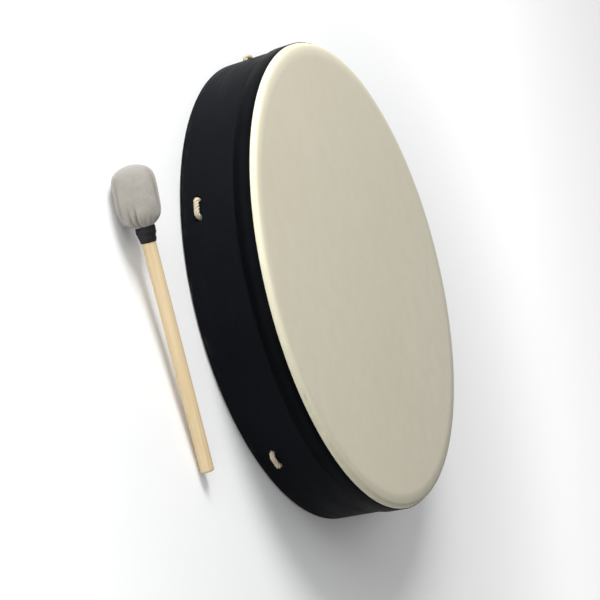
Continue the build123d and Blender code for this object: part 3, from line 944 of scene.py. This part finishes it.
def tape_binding():
    outline = [(60.9, 8.3), (61.0, 9.1), (62.2, 9.65), (63.6, 9.9), (67.4, 9.9), (69.4, 9.35), (72.0, 8.75), (74.4, 8.35), (76.4, 7.95), (77.1, 7.6), (77.2, 7.08)]
    d = np.array([p[0] for p in outline])
    r = np.array([p[1] for p in outline])
    na = 120
    rows = np.concatenate([[60.9, 61.0, 61.3], np.linspace(61.8, 76.6, 62), [76.9, 77.1, 77.2]])
    verts = []
    turn = 5.2     # the tape climbs this far in one turn
    for x in rows:
        base = np.interp(x, d, r)
        for j in range(na):
            psi = 2 * math.pi * j / na
            ph = ((x - 60.9) / turn - j / na) % 1.0
            lap = 0.26 * (1 - min(1.0, ph / 0.9)) - (0.10 if ph < 0.035 else 0.0)
            lump = 0.26 * noise.noise(Vector((math.cos(psi) * 1.9, math.sin(psi) * 1.9, x * 0.32)))
            lump += 0.10 * noise.noise(Vector((math.cos(psi) * 5.0 + 7, math.sin(psi) * 5.0, x * 0.9)))
            edge = min(1.0, (x - 60.9) / 0.8, (77.2 - x) / 0.5)
            rr = base - 0.22 + (lap + lump) * max(0.0, edge)
            rr = max(rr, 7.06)
            lean = -0.9 * math.cos(psi - PSI_RIGHT) * max(0.0, 1 - (x - 60.9) / 6)
            verts.append(beater_point(rr * MM, psi, (x + lean - 1.2) * MM))
    faces = []
    m = len(rows)
    for i in range(m - 1):
        for j in range(na):
            k = (j + 1) % na
            faces.append((i * na + j, (i + 1) * na + j, (i + 1) * na + k, i * na + k))
    # inner wall, so that the tape is a closed sleeve
    base = len(verts)
    inner = [(77.2, 7.03), (74.0, 7.03), (73.0, 8.0), (61.2, 8.0)]
    for x, rad in inner:
        for j in range(na):
            verts.append(beater_point(rad * MM, 2 * math.pi * j / na, (x - 1.2) * MM))
    order = [m - 1] + [None] * 0
    prev = (m - 1) * na
    for q in range(len(inner)):
        cur = base + q * na
        for j in range(na):
            k = (j + 1) % na
            faces.append((prev + j, cur + j, cur + k, prev + k))
        prev = cur
    for j in range(na):
        k = (j + 1) % na
        faces.append((prev + j, j, k, prev + k))
    return new_mesh("neck_tape", verts, faces, tape)


binding = tape_binding()

# ------------------------------------------------------------ who moves with what
for i, (o, az) in enumerate(ropes):
    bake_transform(o)
    if i == 0:
        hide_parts("rope_stitches", "rope_spokes", "rope_loops")
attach(ring_whipping, "handle")
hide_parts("ring_whipping")
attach(splice, "drum")
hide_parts("rope_splice")
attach(cover, "beater")
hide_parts("beater_cover")
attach(padding, "beater")
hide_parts("beater_padding")
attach(binding, "beater")
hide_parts("beater_binding")

# ------------------------------------------------------------ floor and light
bpy.ops.mesh.primitive_plane_add(size=60, location=(0, 0, -0.0004))
floor = bpy.context.object
floor.name = "floor"
fm = Mat("floor_pale", rough=0.85, color=(0.86, 0.86, 0.86), Specular_IOR_Level=0.1)
fm.set("Base Color", fm.ramp(fm.noise(fm.obj(), 3.0, 3, 0.5), [(0.3, (0.925, 0.925, 0.925)), (0.7, (0.940, 0.940, 0.940))]))
# painted light: the floor glows, from nothing near the drum to stronger further out, so the backdrop reads white
fm.b.inputs["Emission Color"].default_value = (1, 1, 1, 1)
fs = fm.sep(fm.obj())
fr = fm.math("SQRT", fm.math("ADD", fm.math("MULTIPLY", fs[0], fs[0]), fm.math("MULTIPLY", fs[1], fs[1])))
fm.set("Emission Strength", fm.step(fr, 0.42, 1.15, 0.0, 0.34))
floor.data.materials.append(fm.m)

world = bpy.data.worlds.new("studio")
bpy.context.scene.world = world
world.use_nodes = True
bg = world.node_tree.nodes["Background"]
bg.inputs[0].default_value = (1.0, 1.0, 1.0, 1)
wt = world.node_tree
away = wt.nodes.new("ShaderNodeTexCoord")
dot = wt.nodes.new("ShaderNodeVectorMath")
dot.operation = "DOT_PRODUCT"
dot.inputs[1].default_value = (-0.80, -0.45, 0.40)
wt.links.new(away.outputs["Generated"], dot.inputs[0])
span = wt.nodes.new("ShaderNodeMapRange")
span.interpolation_type = "SMOOTHSTEP"
for i, v in enumerate((-0.75, 0.75, 0.08, 0.50)):
    span.inputs[i + 1].default_value = v
wt.links.new(dot.outputs["Value"], span.inputs[0])
wt.links.new(span.outputs[0], bg.inputs[1])


def area(name, pos, target, size, power, color=(1, 1, 1)):
    l = bpy.data.lights.new(name, "AREA")
    l.shape = "DISK"
    l.size = size
    l.energy = power
    l.color = color
    o = bpy.data.objects.new(name, l)
    bpy.context.collection.objects.link(o)
    o.location = pos
    o.rotation_euler = (Vector(target) - Vector(pos)).to_track_quat("-Z", "Y").to_euler()
    return o


area("key", (-1.80, -1.50, 1.32), (0, 0, 0.04), 1.1, 74)
area("rim", (-0.50, -2.00, 0.62), (0, -0.1, 0.07), 0.9, 10, (0.92, 0.98, 1.0))
area("fill", (0.95, -1.95, 0.55), (0.1, -0.1, 0.06), 1.1, 11)
area("top", (-0.3, 0.2, 2.2), (0, 0, 0), 1.8, 3)

bpy.context.scene.view_settings.view_transform = "Standard"
